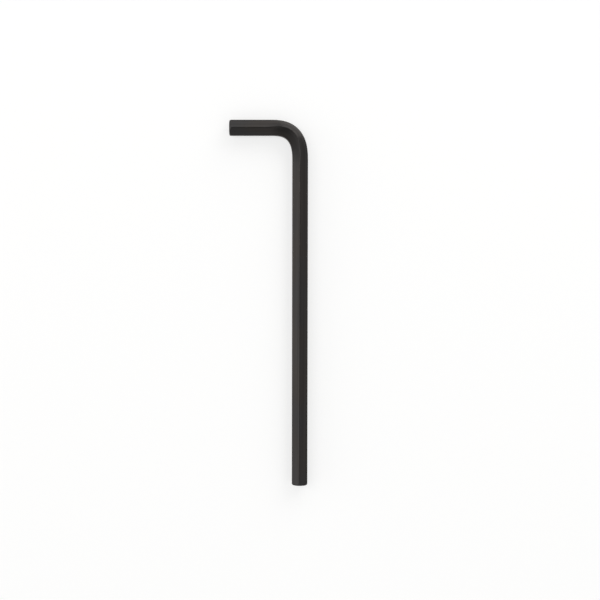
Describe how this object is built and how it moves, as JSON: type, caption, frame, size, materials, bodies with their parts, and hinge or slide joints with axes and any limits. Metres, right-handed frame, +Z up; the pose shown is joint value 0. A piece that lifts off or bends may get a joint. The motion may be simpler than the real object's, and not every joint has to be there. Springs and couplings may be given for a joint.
{
  "type": "hex key",
  "caption": "Long-arm hex key: an L-shaped black oxide steel bar of hexagonal section that turns socket screws with either tip.",
  "frame": {"origin": "centre of the key's outline, on the surface that it lies on", "axes": "+Z up and square to the bend; the long arm runs along Y with the bend at +Y; the short arm points to -X"},
  "size_m": [0.05, 0.234, 0.0113],
  "materials": {
    "black_oxide_steel": "drawn bar, black oxide, satin"
  },
  "bodies": {
    "root": {"hex_key": "black_oxide_steel"}
  },
  "joints": []
}
